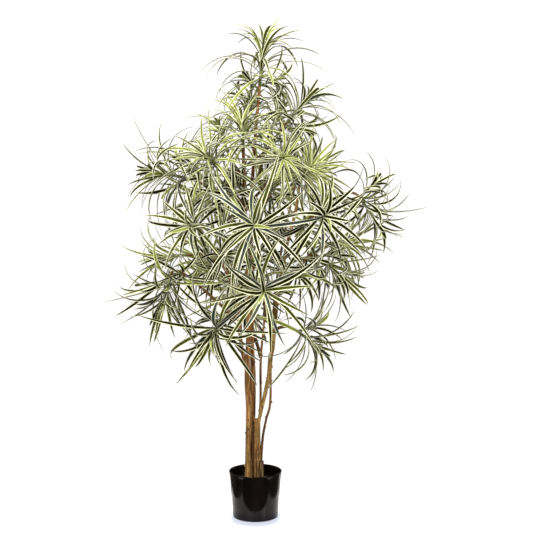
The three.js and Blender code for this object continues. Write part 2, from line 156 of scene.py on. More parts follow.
black_plastic, tree, shader, place = new_finish("black_plastic", roughness=0.12, specular=0.16)
scuffs = grain(tree, stretched(tree, place, SCUFFS), detail=4.0, rough=0.6)
tree.links.new(ramp(tree, scuffs, POT_BLACKS), shader.inputs["Base Color"])
tree.links.new(spread(tree, scuffs, low=0.06, high=0.18), shader.inputs["Roughness"])
ripple = grain(tree, place, scale=22.0, detail=1.5)
relief(tree, shader, ripple, strength=0.10, distance=0.002)

shell = turned(POT_OUTSIDE + POT_LIP + POT_INSIDE, POT_STEPS)
piece("pot_shell", shell, black_plastic, ["pot"])


# FILLER. Dark cement cast in the pot round the feet of the stems. It is left rough on top and
# drawn up a little at the wall.
FILL_HEIGHT = 0.088
FILL_RADIUS = 0.0582
FILL_WALL = [
    (FILL_RADIUS, 0.0872), (0.0570, 0.0720), (0.0556, 0.0540), (0.0546, 0.0360), (0.0537, 0.0170),
    (0.0530, 0.0068), (0.0, 0.0034),
]
FILL_RINGS = 30
FILL_STEPS = 112
# How far the middle of the top sinks, in metres, and how sharply it rises to the wall again.
FILL_SINK = 0.001
WALL_POWER = 8
# The lumps on top: their height, how close they stand, and their layers, as how fast these get
# lower and finer and how many there are.
CEMENT_LUMP = 0.0016
CEMENT_SCALE = 70
CEMENT_LAYERS = (1.0, 2.0, 4)
CEMENT_GREYS = [
    (0.32, (0.010, 0.009, 0.008)), (0.55, (0.026, 0.023, 0.020)), (0.78, (0.070, 0.063, 0.055)),
]

fill_top = [(FILL_RADIUS * i / FILL_RINGS, FILL_HEIGHT) for i in range(FILL_RINGS)]
fill = turned(fill_top + FILL_WALL, FILL_STEPS)
for vert in fill.verts:
    if vert.co.z > FILL_HEIGHT - FILL_SINK:
        middle = 1 - (vert.co.xy.length / FILL_RADIUS) ** WALL_POWER
        lumps = noise.fractal(vert.co * CEMENT_SCALE, *CEMENT_LAYERS) * CEMENT_LUMP
        vert.co.z += middle * lumps - FILL_SINK * middle

dark_cement, tree, shader, place = new_finish("dark_cement", roughness=0.95, specular=0.25)
grit = grain(tree, place, scale=420.0, detail=5.0, rough=0.65)
tree.links.new(ramp(tree, grit, CEMENT_GREYS), shader.inputs["Base Color"])
relief(tree, shader, grit, strength=0.8, distance=0.0015)

piece("cement_filler", fill, dark_cement, ["fill"])


# STEMS. Dried natural branches with their bark on, pushed together into the filler: a tall
# leading stem, a darker one behind it, a sawn-off thick one that carries two more, a thin outer
# one, a side stem and a short sawn stump.
MM = 0.001
STEM_STEPS = 16
# The sides of each stem, and its waypoints: x, y, z and the radius, in mm.
STEMS = {
    "stem_main": (16, [
        (-19.4, -25, 24, 8.2), (-18.4, -25, 118, 6.9), (-17.5, -25, 184, 6.0), (-15.6, -25, 277, 7.2),
        (-18.6, -25, 352, 6.6), (-16, -25, 474, 5.2), (-15, -25, 582, 5.2), (-22, -28, 704, 4.8),
        (-25.6, -34, 820, 4.4), (-27, -42, 894, 3.8),
    ]),
    "stem_back": (16, [
        (-8, 9, 24, 7.4), (-7.4, 10, 132, 6.0), (-5.4, 7, 334, 6.5), (-8, -2, 444, 4.8), (-6, 4, 580, 4.6),
        (-10, 14, 702, 4.4), (-5, 24, 841, 4.1), (3, 18, 952, 3.7), (11, 11, 1042, 3.2),
    ]),
    "stem_centre": (18, [
        (4, -10, 24, 10), (4.4, -10, 115, 8.2), (4.6, -10, 190, 7.7), (4.8, -10, 244, 7.4),
    ]),
    "stem_right": (14, [
        (5, -12, 226, 4.4), (12, -14, 256, 4.2), (25.7, -18, 317, 4.8), (33.2, -20, 354, 5.3),
        (36.8, -20, 398, 5.9), (42.4, -20, 428, 5.3), (51, -15, 523, 4.7), (62, -5, 594, 4.5),
        (78, 5, 674, 4.2), (97, 10, 748, 3.9), (105.5, 18, 815, 3.4),
    ]),
    "stem_slim": (12, [
        (8, -6, 229, 3.1), (12.6, 1, 288, 3.0), (13.2, 4, 390, 2.9), (21, 10, 474, 2.6),
        (28, 14, 574, 2.3),
    ]),
    "stem_outer": (12, [
        (9, 25, 24, 4.4), (16, 25, 170, 3.2), (25.8, 25, 233, 2.9), (36, 25, 276, 3.0), (37.8, 25, 380, 2.7),
        (44, 35, 502, 3.0), (56, 60, 601, 3.1), (72, 82, 690, 3.0), (90, 98, 770, 2.8), (106, 104, 832, 2.6),
    ]),
    "stem_left": (12, [
        (-19, -26, 357, 4.2), (-34, -31, 436, 4.9), (-38, -38, 502, 4.4), (-58, -46, 586, 3.6),
        (-98, -58, 664, 3.3), (-132, -70, 716, 3.0),
    ]),
    "stump": (16, [(15.4, -31, 24, 7.2), (15, -31, 90, 6.2), (14.7, -31, 146, 5.7)]),
}
# Cut twigs and knots: stem, height in mm, bearing in degrees, and the stub's length and radius in mm.
KNOTS = [
    ("stem_main", 212, 200, 2.2, 2.4), ("stem_main", 300, 330, 2.0, 2.2), ("stem_main", 410, 170, 2.4, 2.2),
    ("stem_main", 131, 185, 3.0, 2.6), ("stem_main", 520, 300, 2.2, 2.0), ("stem_main", 655, 220, 2.0, 1.9),
    ("stem_main", 100, 195, 4.0, 3.0), ("stem_back", 380, 320, 2.0, 2.1), ("stem_back", 610, 250, 2.2, 2.0),
    ("stem_centre", 160, 285, 2.2, 2.6), ("stem_centre", 205, 215, 1.8, 2.4),
    ("stem_centre", 235, 205, 2.6, 3.0), ("stem_centre", 232, 320, 1.6, 2.6),
    ("stem_right", 300, 300, 1.6, 1.8), ("stem_right", 372, 20, 2.4, 2.3),
    ("stem_right", 345, 200, 1.6, 1.9), ("stem_right", 468, 170, 2.0, 1.9),
    ("stem_outer", 277, 345, 2.6, 1.9), ("stem_outer", 240, 190, 1.6, 1.5),
    ("stem_outer", 214, 355, 1.6, 1.5), ("stem_outer", 330, 10, 1.8, 1.4), ("stem_slim", 262, 190, 1.6, 1.4),
    ("stem_slim", 330, 350, 1.6, 1.4), ("stem_left", 470, 160, 1.8, 1.6),
]
# A stub from its root to its cut end: how far along, and how wide as a share of its radius.
STUB_SHAPE = [(0, 1.7), (0.55, 1.25), (0.9, 1.0), (1, 0.8)]
# How steeply it rises, and how far from the stem's middle its root lies, as a share of the radius.
STUB_LIFT = 0.35
STUB_DEPTH = 0.5
STUB_SIDES = 8
# The short prong that is left beside the fork where the centre stem was sawn off.
SAWN_PRONG = [(1.5, -12, 224, 4.6), (-1.5, -13, 238, 3.4), (-3.6, -14, 250, 2.5), (-4.2, -14, 253, 2.1)]
PRONG_STEPS = 4
PRONG_SIDES = 10
LIMB_WELD = 1e-7


def stem_line(route, steps):
    """A smooth route through the waypoints, as points and radii in metres."""
    def at(i):
        return route[min(max(i, 0), len(route) - 1)]

    line = []
    for i in range(len(route) - 1):
        for step in range(steps):
            t = step / steps
            mix = []
            for k in range(4):
                back, here, ahead, far = at(i - 1)[k], at(i)[k], at(i + 1)[k], at(i + 2)[k]
                bend = 2 * back - 5 * here + 4 * ahead - far + t * (3 * here - back - 3 * ahead + far)
                mix.append(here + (t / 2) * (ahead - back + t * bend))
            line.append((Vector(mix[:3]) * MM, mix[3] * MM))
    line.append((Vector(route[-1][:3]) * MM, route[-1][3] * MM))
    return line


def limb(bm, line, sides, swell=None):
    """Rolls a flat grid into a closed tube along the line. swell gives the bark's relief."""
    last = len(line) - 1
    grid = bmesh.ops.create_grid(bm, x_segments=sides, y_segments=last, size=1)
    rings = []
    first = None
    for i, (point, radius) in enumerate(line):
        along = (line[min(i + 1, last)][0] - line[max(i - 1, 0)][0]).normalized()
        if first is None:
            first = along.orthogonal()
        first = (first - along * first.dot(along)).normalized()
        rings.append((point, radius, first, along.cross(first)))
    for vert in grid["verts"]:
        point, radius, first, second = rings[round((vert.co.y + 1) / 2 * last)]
        turn = math.pi * vert.co.x
        out = first * math.cos(turn) + second * math.sin(turn)
        grown = radius * (1 + swell(point, out) if swell else 1)
        vert.co = point + out * grown
    bmesh.ops.remove_doubles(bm, verts=grid["verts"], dist=LIMB_WELD)
    welded = [vert for vert in grid["verts"] if vert.is_valid]
    rims = {edge for vert in welded for edge in vert.link_edges if edge.is_boundary}
    bmesh.ops.holes_fill(bm, edges=list(rims), sides=0)


# The bark's relief. Each kind has how much it changes round the stem and up it, and its depth as
# a share of the stem's radius.
RIDGE_ROUND, RIDGE_UP, RIDGE_DEPTH = 2.6, 38, 0.075
LUMP_ROUND, LUMP_UP, LUMP_DEPTH = 0.9, 19, 0.085
PIT_ROUND, PIT_UP, PIT_DEPTH = 1.6, 260, 0.035
# The layers of pits: how fast they get lower and finer, and how many there are.
PIT_LAYERS = (0.9, 2.1, 3)
# This moves the lumps away from the ridges' own pattern.
LUMP_SHIFT = 7


def bark_relief(point, out):
    """Long ridges, slow lumps and fine pits, as a share of the radius."""
    upward = point.z * RIDGE_UP + out.z * RIDGE_ROUND
    ridges = noise.noise(Vector((out.x * RIDGE_ROUND, out.y * RIDGE_ROUND, upward)))
    lumps = noise.noise(Vector((out.x * LUMP_ROUND + LUMP_SHIFT, out.y * LUMP_ROUND, point.z * LUMP_UP)))
    pits = noise.fractal(point * PIT_UP + out * PIT_ROUND, *PIT_LAYERS)
    return RIDGE_DEPTH * ridges + LUMP_DEPTH * lumps + PIT_DEPTH * pits


def at_height(line, height):
    """The point of a line at a height, its direction there and its radius."""
    i = next(k for k, (point, _) in enumerate(line) if point.z > height)
    low, high = line[i - 1][0], line[i][0]
    return low.lerp(high, (height - low.z) / (high.z - low.z)), (high - low).normalized(), line[i][1]


def cut_stub(bm, line, height, bearing, length, radius):
    """A cut twig or a knot, which stands out of the bark."""
    point, _, thick = at_height(line, height * MM)
    turn = math.radians(bearing)
    out = Vector((math.cos(turn), math.sin(turn), STUB_LIFT)).normalized()
    root = point + out * thick * STUB_DEPTH
    end = point + out * (thick + length * MM)
    stub = [(root.lerp(end, share), radius * wide * MM) for share, wide in STUB_SHAPE]
    limb(bm, stub, STUB_SIDES)


# A colour mix takes its share at socket 0 and its colours at 6 and 7, and gives them at socket 2.
MIX_SHARE, MIX_FIRST, MIX_SECOND, MIX_RESULT = 0, 6, 7, 2


def mixed(tree, share, first, second):
    """One colour pattern laid over another, by a share from 0 to 1."""
    mix = tree.nodes.new("ShaderNodeMix")
    mix.data_type = "RGBA"
    tree.links.new(share, mix.inputs[MIX_SHARE])
    tree.links.new(first, mix.inputs[MIX_FIRST])
    tree.links.new(second, mix.inputs[MIX_SECOND])
    return mix.outputs[MIX_RESULT]


def veiled(tree, colour, pattern, veil, start, full, most):
    """A plain colour laid over another, from where a pattern starts to where it is in full."""
    share = ramp(tree, pattern, [(start, (0, 0, 0)), (full, (most, most, most))])
    plain = tree.nodes.new("ShaderNodeRGB").outputs["Color"]
    plain.default_value = (*veil, 1)
    return mixed(tree, share, colour, plain)


# How fine each pattern of the bark is along x, y and z. All run long up the stem.
STREAKS = (330, 330, 26)
STREAK_STOPS = (0.36, 0.50, 0.66)
PATCHES = (60, 60, 16)
CRACKS = (210, 210, 8)
SPOTS = (230, 230, 95)
OLIVE_LICHEN = (0.17, 0.125, 0.030)
# The heights between which a stem's lower browns give way to its upper ones.
UPPER_START = 0.20
UPPER_FULL = 0.36


def bark(name, browns, specks, upper=None):
    """Dry bark: long streaks of three browns, lichen, cracks and specks, warmer towards the top."""
    finish, tree, shader, place = new_finish(name, roughness=0.72, specular=0.15)
    streaks = grain(tree, stretched(tree, place, STREAKS), detail=5.0, rough=0.62)
    colour = ramp(tree, streaks, list(zip(STREAK_STOPS, browns)))
    if upper:
        heights = tree.nodes.new("ShaderNodeSeparateXYZ")
        tree.links.new(place, heights.inputs["Vector"])
        climb = spread(tree, heights.outputs["Z"], start=UPPER_START, end=UPPER_FULL)
        colour = mixed(tree, climb, colour, ramp(tree, streaks, list(zip(STREAK_STOPS, upper))))
    patches = grain(tree, stretched(tree, place, PATCHES), detail=2.0)
    colour = veiled(tree, colour, patches, OLIVE_LICHEN, start=0.52, full=0.64, most=0.45)
    cracks = grain(tree, stretched(tree, place, CRACKS), detail=4.0, rough=0.6)
    colour = veiled(tree, colour, cracks, specks, start=0.56, full=0.63, most=0.85)
    spots = grain(tree, stretched(tree, place, SPOTS), detail=3.0)
    colour = veiled(tree, colour, spots, specks, start=0.60, full=0.70, most=0.8)
    tree.links.new(colour, shader.inputs["Base Color"])
    tree.links.new(spread(tree, spots, low=0.62, high=0.88), shader.inputs["Roughness"])
    relief(tree, shader, streaks, strength=0.55, distance=0.0011)
    return finish


# The dark, middle and light brown of each bark, its specks, and the three browns further up.
BARK_COLOURS = {
    "ochre": (
        [(0.060, 0.027, 0.008), (0.205, 0.100, 0.028), (0.38, 0.215, 0.078)], (0.018, 0.008, 0.003),
        [(0.13, 0.052, 0.014), (0.35, 0.160, 0.052), (0.56, 0.31, 0.125)],
    ),
    "dark": (
        [(0.050, 0.020, 0.006), (0.150, 0.065, 0.019), (0.30, 0.150, 0.048)], (0.012, 0.005, 0.002),
        [(0.16, 0.066, 0.019), (0.40, 0.185, 0.060), (0.58, 0.31, 0.120)],
    ),
    "olive": (
        [(0.085, 0.046, 0.010), (0.250, 0.150, 0.038), (0.46, 0.31, 0.095)], (0.022, 0.010, 0.003),
        [(0.15, 0.076, 0.017), (0.36, 0.205, 0.060), (0.56, 0.36, 0.130)],
    ),
    "red": (
        [(0.060, 0.024, 0.007), (0.180, 0.082, 0.026), (0.33, 0.17, 0.064)], (0.024, 0.010, 0.004),
        [(0.10, 0.041, 0.012), (0.27, 0.128, 0.043), (0.44, 0.245, 0.095)],
    ),
    "stump": (
        [(0.011, 0.003, 0.001), (0.032, 0.012, 0.005), (0.18, 0.105, 0.055)], (0.010, 0.002, 0.001),
    ),
    "bough": (
        [(0.060, 0.028, 0.009), (0.165, 0.086, 0.030), (0.32, 0.185, 0.072)], (0.024, 0.010, 0.003),
    ),
}
STEM_BARK = {
    "stem_main": "ochre", "stem_back": "dark", "stem_centre": "ochre", "stem_right": "olive",
    "stem_slim": "dark", "stem_outer": "red", "stem_left": "red", "stump": "stump",
}

BARKS = {kind: bark("bark_" + kind, *colours) for kind, colours in BARK_COLOURS.items()}
stem_lines = {name: stem_line(route, STEM_STEPS) for name, (_, route) in STEMS.items()}
for name, line in stem_lines.items():
    wood = bmesh.new()
    limb(wood, line, STEMS[name][0], bark_relief)
    for stem, *cut in KNOTS:
        if stem == name:
            cut_stub(wood, line, *cut)
    if name == "stem_centre":
        limb(wood, stem_line(SAWN_PRONG, PRONG_STEPS), PRONG_SIDES, bark_relief)
    bmesh.ops.recalc_face_normals(wood, faces=wood.faces)
    piece("wood_" + name, wood, BARKS[STEM_BARK[name]], [name])


# BOUGHS. Slim side branches of the same wood. Each leaves its stem rising outwards, tapers, and
# ends on the line of the head of leaves that it carries.
Head = namedtuple("Head", "name stem fork end bearing lift long leaves size tint")
# The heads of leaves: name, stem, height of the fork in mm (none where the head sits on the stem's
# tip), end of the bough in mm, bearing and lift of the head's axis in degrees, its length in mm,
# its leaves, their size as a share of the usual, and their tint.
HEADS = [Head(*row) for row in (
    ("centre_front", "stem_main", 636, (-1, -140, 722), 270, 10, 60, 26, 1.08, "deep"),
    ("low_centre", "stem_slim", 492, (19, -176, 592), 272, -4, 54, 25, 1.00, "deep"),
    ("right_front", "stem_right", 640, (139, -112, 749), 290, 2, 56, 25, 0.92, "deep"),
    ("low_left", "stem_left", 412, (-80, -98, 496), 256, -14, 56, 25, 1.04, "deep"),
    ("left_low", "stem_left", 490, (-197, -100, 604), 258, -48, 64, 25, 0.92, "mid"),
    ("low_right", "stem_right", 462, (100, -60, 468), 328, -30, 58, 21, 0.86, "mid"),
    ("top", "stem_back", None, None, 0, 85, 93.5, 28, 0.935, "mid"),
    ("top_right", "stem_back", 862, (76, 20, 956), 2, 50, 66, 25, 0.94, "mid"),
    ("far_left", "stem_main", 735, (-160, -20, 826), 192, 12, 70, 26, 0.96, "mid"),
    ("far_right", "stem_right", 690, (250, 14, 776), 342, -54, 84, 28, 0.74, "deep"),
    ("left_front", "stem_main", 765, (-81, -56, 847), 232, 36, 54, 22, 0.88, "light"),
    ("right_low", "stem_right", 545, (150, -10, 640), 338, -38, 60, 22, 1.12, "mid"),
    ("left", "stem_left", None, None, 248, 8, 42, 20, 0.74, "mid"),
    ("trunk_tip", "stem_main", None, None, 265, 66, 55, 21, 0.86, "light"),
    ("centre_high", "stem_back", 770, (60, -44, 863), 278, 18, 50, 20, 0.68, "light"),
    ("right_high", "stem_right", None, None, 300, 38, 50, 20, 0.76, "light"),
    ("upper", "stem_back", 890, (-22, 62, 944), 60, 70, 58, 18, 0.70, "light"),
    ("upper_left", "stem_main", 828, (-62, 12, 880), 190, 70, 60, 18, 0.66, "light"),
    ("left_back", "stem_back", 560, (-164, 52, 635), 172, -5, 58, 21, 0.84, "light"),
    ("left_low_back", "stem_back", 496, (-91, 96, 618), 128, -6, 52, 22, 0.88, "light"),
    ("back_high", "stem_back", 800, (34, 82, 926), 60, 50, 50, 20, 0.84, "light"),
    ("right_high_back", "stem_outer", None, None, 50, -4, 52, 22, 0.76, "light"),
    ("back_left", "stem_back", 665, (-103, 150, 750), 125, 12, 55, 22, 0.86, "light"),
    ("back_right", "stem_outer", 560, (179, 108, 650), 40, 4, 55, 22, 0.86, "light"),
    ("back_centre", "stem_back", 705, (36, 184, 771), 88, 18, 55, 22, 0.86, "light"),
    ("back_low", "stem_slim", 394, (-36, 142, 531), 100, -6, 55, 21, 0.86, "light"),
)]
# A bough's radius at its root and at its tip, in metres.
BOUGH_ROOT = 0.0040
BOUGH_TIP = 0.0029
BOUGH_RINGS = 34
BOUGH_SIDES = 10
# A bough starts in the middle of its stem, and leaves it partly outwards and partly along it.
FORK_OUT, FORK_ALONG = 0.8, 0.6
# How far it keeps to that direction, as shares of the stem's radius and of its own reach, and to
# the direction at its end, as a share of its reach.
FORK_CLEAR, ROOT_REACH, END_REACH = 0.5, 0.36, 0.3
# How much wider it is at the very root, and how fast that fades.
ROOT_FLARE = 0.35
FLARE_FADE = 7


def heading(bearing, lift):
    """A direction from its bearing in plan and its lift above level, in degrees."""
    turn, rise = math.radians(bearing), math.radians(lift)
    return Vector((math.cos(rise) * math.cos(turn), math.cos(rise) * math.sin(turn), math.sin(rise)))


def bough_line(head):
    """The middle line of a bough from its fork to its head, as points and radii."""
    axis = heading(head.bearing, head.lift)
    point, along, radius = at_height(stem_lines[head.stem], head.fork * MM)
    end = Vector(head.end) * MM
    out = end - point
    reach = out.length
    out.z = 0
    leave = (out.normalized() * FORK_OUT + along * FORK_ALONG).normalized()
    first = point + leave * (FORK_CLEAR * radius + ROOT_REACH * reach)
    second = end - axis * END_REACH * reach
    line = []
    for i in range(BOUGH_RINGS + 1):
        t = i / BOUGH_RINGS
        rest = 1 - t
        spot = point * rest ** 3 + first * 3 * rest * rest * t + second * 3 * rest * t * t + end * t ** 3
        flare = 1 + ROOT_FLARE * max(0.0, 1 - FLARE_FADE * t)
        line.append((spot, (BOUGH_ROOT + (BOUGH_TIP - BOUGH_ROOT) * t) * flare))
    return line


bough_lines = {head.name: bough_line(head) for head in HEADS if head.fork}
for stem in STEMS:
    carried = [head.name for head in HEADS if head.stem == stem and head.fork]
    if carried:
        wood = bmesh.new()
        for name in carried:
            limb(wood, bough_lines[name], BOUGH_SIDES, bark_relief)
        bmesh.ops.recalc_face_normals(wood, faces=wood.faces)
        boughs = ["bough_" + name for name in carried]
        piece("boughs_of_" + stem, wood, BARKS["bough"], boughs)


# LEAF TWIGS. The green plastic twig at the heart of each head, thick at its root, which is pushed
# over the bough's tip, and ringed by the sheaths of its leaves. Shoots are short twigs pushed into
# the limbs between, with smaller leaves that fill the inside of the crown.
# The gap in metres between a limb's tip and its twig, which stay two parts.
GAP = 0.0003
# A twig's radius at its root and at its tip, in metres.
TWIG_ROOT = 0.0038
TWIG_TIP = 0.0019
TWIG_RINGS = 18
TWIG_SIDES = 9
# How far the point stands beyond the twig, in mm, and its width as a share of the tip's.
TWIG_POINT = 3
TWIG_POINT_WIDTH = 0.4
# How far the sheaths stand out, in metres, and by how large a share their width varies.
SHEATH = 0.0005
SHEATH_CHANCE = 0.10
SHEATH_SCALE = 420
Shoot =namedtuple("Shoot", "limb along bearing lift size")
# The shoots: the bough or stem, how far along it, bearing and lift in degrees, and leaf size.
SHOOTS = [Shoot(*row) for row in (
    ("centre_front", 0.35, 200, 30, 0.62), ("centre_front", 0.62, 345, 10, 0.62),
    ("low_centre", 0.40, 350, 20, 0.62), ("low_centre", 0.65, 205, -10, 0.62),
    ("right_front", 0.40, 300, 50, 0.62), ("right_front", 0.70, 250, -20, 0.62),
    ("far_right", 0.35, 320, 40, 0.62), ("far_right", 0.60, 20, -20, 0.62),
    ("far_right", 1.00, 0, 48, 0.85), ("far_right", 1.00, 350, 0, 0.80),
    ("far_right", 1.00, 355, -32, 0.92), ("far_left", 0.35, 230, 40, 0.62),
    ("far_left", 0.80, 190, 80, 1.00), ("far_left", 1.00, 180, 66, 1.00),
    ("far_left", 1.00, 200, -30, 0.80), ("left_front", 0.50, 170, 20, 0.62),
    ("left_front", 0.30, 260, 0, 0.62), ("left_low", 0.80, 300, -20, 0.62),
    ("left_low", 1.00, 200, -35, 0.95), ("left_low", 0.90, 285, -65, 0.80),
    ("right_low", 0.35, 300, 10, 0.62), ("right_low", 1.00, 10, 0, 0.95),
    ("right_low", 0.85, 300, -40, 0.85), ("top_right", 0.50, 20, 10, 0.62),
    ("top_right", 0.85, 345, -5, 0.85), ("top_right", 1.00, 340, -15, 0.80),
    ("centre_high", 0.50, 330, 30, 0.62), ("back_high", 0.50, 320, 30, 0.62),
    ("back_centre", 0.40, 200, 10, 0.62), ("back_centre", 0.70, 30, 20, 0.62),
    ("back_low", 0.50, 250, 30, 0.62), ("back_left", 0.40, 230, 30, 0.62),
    ("back_right", 0.50, 300, 20, 0.62), ("left_back", 0.50, 240, -10, 0.62),
    ("left_low_back", 0.50, 260, 10, 0.62), ("low_left", 0.75, 195, 20, 0.62),
    ("low_left", 1.00, 230, -50, 0.85), ("stem_main", 0.70, 285, 20, 0.55),
    ("stem_main", 0.78, 330, 10, 0.55), ("stem_main", 0.86, 240, 30, 0.55),
    ("stem_back", 0.55, 20, 10, 0.55), ("stem_back", 0.62, 330, 20, 0.55),
    ("stem_back", 0.70, 200, 30, 0.55), ("stem_back", 0.93, 200, 30, 0.60),
    ("stem_back", 0.98, 180, 45, 0.80), ("stem_right", 0.75, 210, 20, 0.55),
    ("stem_outer", 0.78, 250, 20, 0.55), ("stem_left", 0.75, 300, 10, 0.50),
    ("low_right", 1.00, 350, 20, 0.80), ("stem_back", 1.00, 10, 20, 0.75),
)]
# A shoot's length in mm, its thickness as a share of a head's twig, its leaves, and how much wider
# these are for their length than the usual leaf, up to its full width.
SHOOT_LONG = 34
SHOOT_THICK = 0.7
SHOOT_LEAVES = 13
SHOOT_WIDTH = 1.55
# The seeds of heads and of shoots: the first one's, and the step from each to the next.
HEAD_SEED, HEAD_SEED_STEP = 1000, 37
SHOOT_SEED, SHOOT_SEED_STEP = 7000, 53
# How far each head's or shoot's spiral is turned from the one before, in degrees.
TURN_STEP = 40
TWIG_GREENS = [(0.35, (0.075, 0.095, 0.024)), (0.65, (0.17, 0.20, 0.065))]


def ringed(point, out):
    """Makes each ring a little wider or narrower than the next, the same on every side."""
    return SHEATH_CHANCE * noise.noise(point * SHEATH_SCALE)


def twig(bm, axis, root, long, thick):
    """A tapering twig with a ring at every other step, and a point beyond its length."""
    line = []
    for i in range(TWIG_RINGS + 1):
        t = i / TWIG_RINGS
        radius = TWIG_ROOT + (TWIG_TIP - TWIG_ROOT) * t + SHEATH * (i % 2)
        line.append((root + axis * long * MM * t, radius * thick))
    line.append((root + axis * (long + TWIG_POINT) * MM, TWIG_TIP * TWIG_POINT_WIDTH * thick))
    limb(bm, line, TWIG_SIDES, ringed)


twig_green, tree, shader, place = new_finish("twig_green", roughness=0.5, specular=0.4)
mottle = grain(tree, place, scale=160.0)
tree.links.new(ramp(tree, mottle, TWIG_GREENS), shader.inputs["Base Color"])
fibres = grain(tree, place, scale=600.0, detail=2.0)
relief(tree, shader, fibres, strength=0.3, distance=0.0008)

twigs = bmesh.new()
every_head = ["leaves_" + head.name for head in HEADS]
# What the leaves grow on. size and wide are shares of the leaves' usual length and width.
Stand = namedtuple("Stand", "axis root long leaves size wide tint seed turn")
stands = []
for number, head in enumerate(HEADS):
    axis = heading(head.bearing, head.lift)
    line = bough_lines.get(head.name) or stem_lines[head.stem]
    root = line[-1][0] + axis * GAP
    twig(twigs, axis, root, head.long, 1)
    seed = HEAD_SEED + HEAD_SEED_STEP * number
    turn = TURN_STEP * number
    stands.append(Stand(axis, root, head.long * MM, head.leaves, head.size, 1, head.tint, seed, turn))
for number, shoot in enumerate(SHOOTS):
    axis = heading(shoot.bearing, shoot.lift)
    line = bough_lines.get(shoot.limb) or stem_lines[shoot.limb]
    root = line[round(shoot.along * (len(line) - 1))][0]
    twig(twigs, axis, root, SHOOT_LONG, SHOOT_THICK)
    wide = min(1, SHOOT_WIDTH * shoot.size)
    seed = SHOOT_SEED + SHOOT_SEED_STEP * number
    turn = TURN_STEP * number
    stands.append(Stand(axis, root, SHOOT_LONG * MM, SHOOT_LEAVES, shoot.size, wide, "shoot", seed, turn))
bmesh.ops.recalc_face_normals(twigs, faces=twigs.faces)
piece("leaf_twigs", twigs, twig_green, every_head)


# LEAVES. Long narrow straps, pressed from thin sheet, that stand round the twig in a spiral and
# arch over: dark green down the middle, cream along both margins, folded a little at the midrib.
# The green middles and the cream margins are joined apart, each in its own tints.
LEAF_LENGTH = 0.188
LEAF_WIDTH = 0.0102
LEAF_STEPS = 12
# In degrees: the turn from leaf to leaf, how far the oldest and the youngest stand off the twig,
# how much further the oldest hang, and how far a leaf bends from neck to point.
LEAF_SPIRAL = 137.508
LEAF_OPEN = 78
LEAF_CLOSED = 12
LEAF_HANG = 45
LEAF_CURL = 72
# How strongly a leaf's weight and chance pull it down and aside.
LEAF_DROOP = 0.35
LEAF_SWAY = 0.90
# How far the first leaf stands from the twig's root and the last from its tip, in metres.
FIRST_LEAF = 0.009
LAST_LEAF = 0.003
# The turns in degrees that a leaf tries till it passes through no limb and no leaf of another head
# or shoot. Where none will do it is left out.
LEAF_TURNS = (0, 6, -6, 12, -12, 18, -18, 26, -26, 34, -34)
# How the leaves change along the twig: a faster close at first, a hang that only the oldest have,
# and a length that rises from the oldest leaves and falls again to the youngest.
CLOSE_POWER = 0.85
HANG_FADE = 7
OLDEST_LENGTH, LENGTH_RISE, LENGTH_FALL = 0.86, 0.75, 1.2
# A leaf bends a little more towards its point than at its neck.
CURL_POWER = 1.2
# What chance decides in a leaf, in the order of its draws, before its turn round the twig.
CHANCES = ("lean", "curl", "twist", "length", "sway")
# How much chance there is in each, in degrees or as a share, and the least curl and length.
TURN_CHANCE = 30
LEAN_CHANCE = 28
TWIST_CHANCE = 80
LEAST_CURL, CURL_CHANCE = 0.35, 1.3
LEAST_LENGTH, LENGTH_CHANCE = 0.80, 0.34
# The leaf's outline: its width at the neck, how soon it is full, and how it draws in to a point.
NECK = 0.45
NECK_OPEN = 1.6
POINT_POWER = 3.0
POINT_ROUND = 0.95
# Each margin's width, and how far it rises above the midrib, as shares of the leaf's width.
MARGIN = 0.18
FOLD = 0.24
# More and narrower leaves where the photograph shows paler heads, fewer and wider where dark.
MORE_LEAVES = {"deep": 0.88, "mid": 1.25, "light": 1.9, "shoot": 1}
WIDER_LEAVES = {"deep": 1.08, "mid": 1.0, "light": 0.76, "shoot": 1}
# The leaves of a head or shoot, in parts of each tint. The youngest at its tip are yellow green.
TINTS = {
    # Bluish leaves carry a painted sheen in their colour, standing in for the soft light's reflection along
    # them.
    "deep": (("deep", 6), ("painted_sheen", 2), ("mid", 2)),
    "mid": (("mid", 6), ("deep", 2), ("painted_sheen", 1), ("light", 2)),
    # Light heads are paler as painted backlight: the white backdrop seems to shine through their leaves.
    "light": (("light", 6), ("mid", 4)),
    "shoot": (("deep", 6), ("mid", 3), ("light", 1)),
}
YOUNG_FROM = {"deep": 0.98, "mid": 0.94, "light": 0.94, "shoot": 0.94}
# The share of darker leaves with straw margins, which every light and young leaf has.
STRAW_SHARE = 0.25
# The tints are drawn from a row of their own, so that they never change a leaf's shape.
DEAL_SEED = 30011
DRAW_FACTOR = 16807
DRAW_LIMIT = 2147483647
NEARLY_UPRIGHT = 0.9


def draws(seed):
    """The same row of numbers from 0 to 1 for the same seed."""
    state = seed
    while True:
        state = (state * DRAW_FACTOR) % DRAW_LIMIT
        yield state / DRAW_LIMIT


def across(direction):
    """Two directions that are square to the given one and to each other."""
    helper = Vector((1, 0, 0)) if abs(direction.z) > NEARLY_UPRIGHT else Vector((0, 0, 1))
    first = direction.cross(helper).normalized()
    return first, direction.cross(first)


